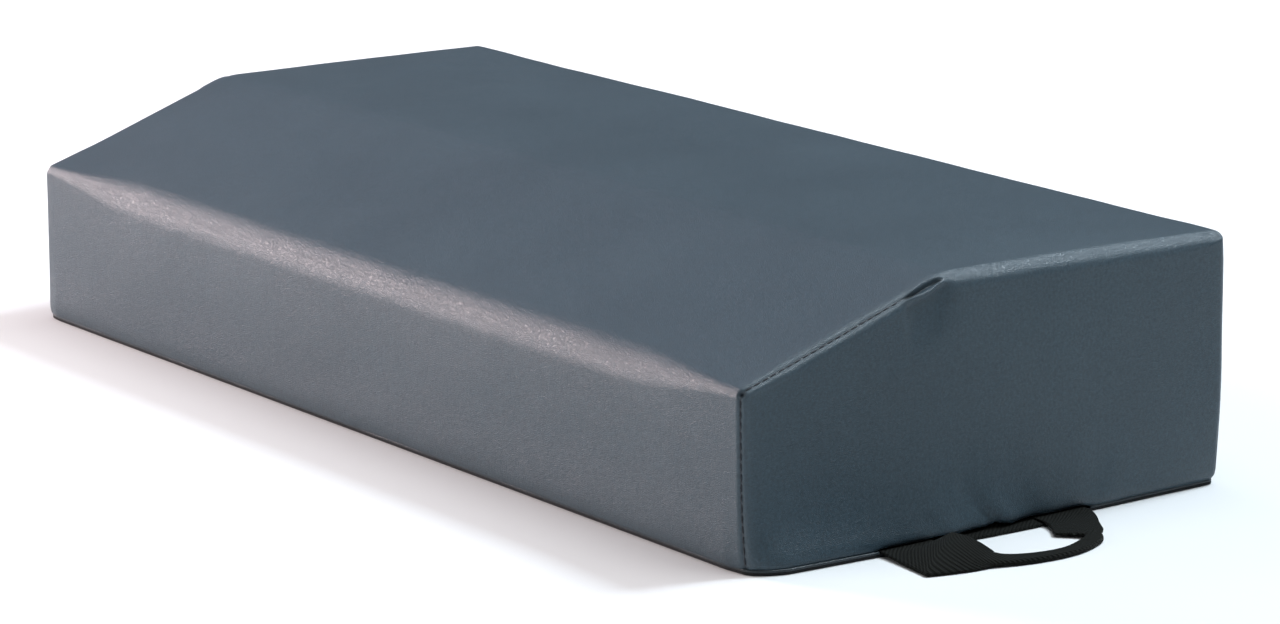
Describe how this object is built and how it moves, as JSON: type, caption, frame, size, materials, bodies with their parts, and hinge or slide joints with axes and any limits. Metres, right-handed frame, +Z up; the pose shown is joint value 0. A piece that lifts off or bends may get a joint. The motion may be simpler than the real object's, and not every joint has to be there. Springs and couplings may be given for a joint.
{
  "type": "incline wedge mat",
  "caption": "Firm rectangular foam mat with one long edge cut back to a slope, in a zipped vinyl cover with a non-slip base and a webbing carry handle.",
  "frame": {"origin": "middle of the underside of the base panel, under the foam block and not counting the handle", "axes": "+X along the mat towards the end with the handle, +Y from the low front face to the back face, +Z up"},
  "size_m": [0.8755, 0.3464, 0.15],
  "materials": {
    "vinyl": "satin",
    "base_fabric": "matte",
    "foam": "matte",
    "webbing": "matte",
    "thread": "matte",
    "zip_tape": "matte",
    "zip_coil": "satin",
    "zip_metal": "satin"
  },
  "bodies": {
    "root": {"foam_lower_slab": "foam", "foam_middle_slab": "foam", "foam_upper_slab": "foam", "cover_shell": "vinyl", "base_panel": "base_fabric", "bottom_welt": "vinyl", "handle_end_front": "webbing", "handle_end_rear": "webbing", "handle_backing": "webbing", "seam_thread_near_end": "thread", "seam_thread_far_end": "thread", "seam_thread_zip": "thread", "zip_tape_upper": "zip_tape", "zip_tape_lower": "zip_tape", "zip_coil_upper": "zip_coil", "zip_coil_lower": "zip_coil", "zip_end_stops": "zip_metal"},
    "handle": {"handle_loop": "webbing"},
    "zip_slider_body": {"zip_slider": "zip_metal"},
    "zip_pull_body": {"zip_pull": "zip_metal"}
  },
  "joints": [
    {"name": "handle_hinge", "type": "hinge", "parent": "root", "child": "handle", "pos_m": [0.42015, -0.011, 0.0036], "axis": [0, -1, 0], "range_deg": [0, 88]},
    {"name": "zip_slide", "type": "slide", "parent": "root", "child": "zip_slider_body", "axis": [-1, 0, 0], "range_m": [0, 0.67]},
    {"name": "zip_pull_hinge", "type": "hinge", "parent": "zip_slider_body", "child": "zip_pull_body", "pos_m": [0.335, 0.1737, 0.025], "axis": [0, 0, -1], "range_deg": [0, 180]}
  ]
}
